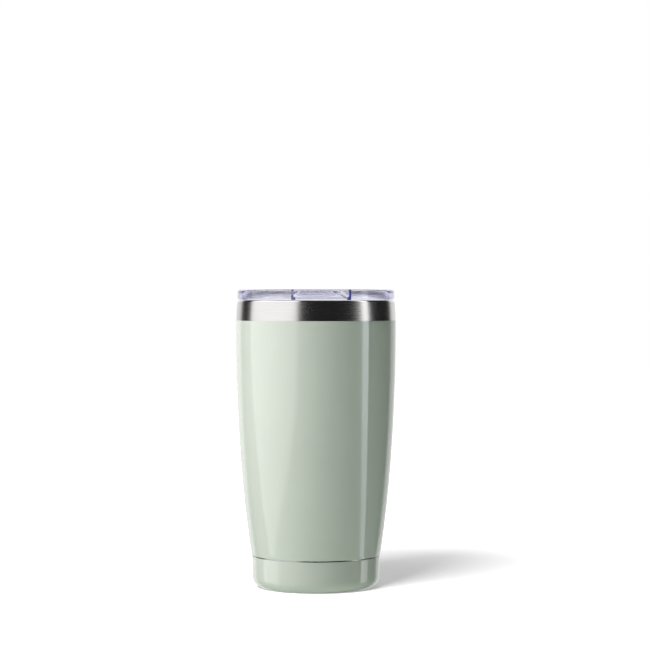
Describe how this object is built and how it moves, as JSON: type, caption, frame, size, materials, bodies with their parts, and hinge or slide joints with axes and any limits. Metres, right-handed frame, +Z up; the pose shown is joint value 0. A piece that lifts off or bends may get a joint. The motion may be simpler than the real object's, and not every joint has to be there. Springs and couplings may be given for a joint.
{
  "type": "insulated tumbler with lid",
  "caption": "Double-walled steel tumbler with a gloss coat, bare steel lip band and welded foot, closed by a press-in clear lid with a sliding drink shutter.",
  "frame": {"origin": "where the tumbler's axis meets the surface that its foot stands on", "axes": "+Z up along the tumbler's axis, -Y towards the drinking side of the lid, +X across the slider's channel"},
  "size_m": [0.09, 0.09, 0.1673],
  "materials": {
    "bare_steel": "brushed",
    "sage_coat": "gloss",
    "copper_foil": "satin",
    "solder_glass": "gloss",
    "getter_metal": "satin",
    "clear_plastic": "clear gloss",
    "silicone": "matte"
  },
  "bodies": {
    "vessel": {"outer_shell": "bare_steel", "shell_coat": "sage_coat", "inner_liner": "bare_steel", "liner_base": "bare_steel", "copper_wrap": "copper_foil", "base_cup": "bare_steel", "base_coat": "sage_coat", "base_disc": "bare_steel", "port_plug": "solder_glass", "getter_capsule": "getter_metal", "getter_strap": "getter_metal"},
    "lid": {"lid_body": "clear_plastic", "lid_gasket": "silicone"},
    "slider": {"slider": "clear_plastic"}
  },
  "joints": [
    {"name": "lid_lift", "type": "slide", "parent": "vessel", "child": "lid", "axis": [0, 0, 1], "range_m": [0, 0.03]},
    {"name": "slider_slide", "type": "slide", "parent": "lid", "child": "slider", "axis": [0, 1, 0], "range_m": [0, 0.018]}
  ]
}
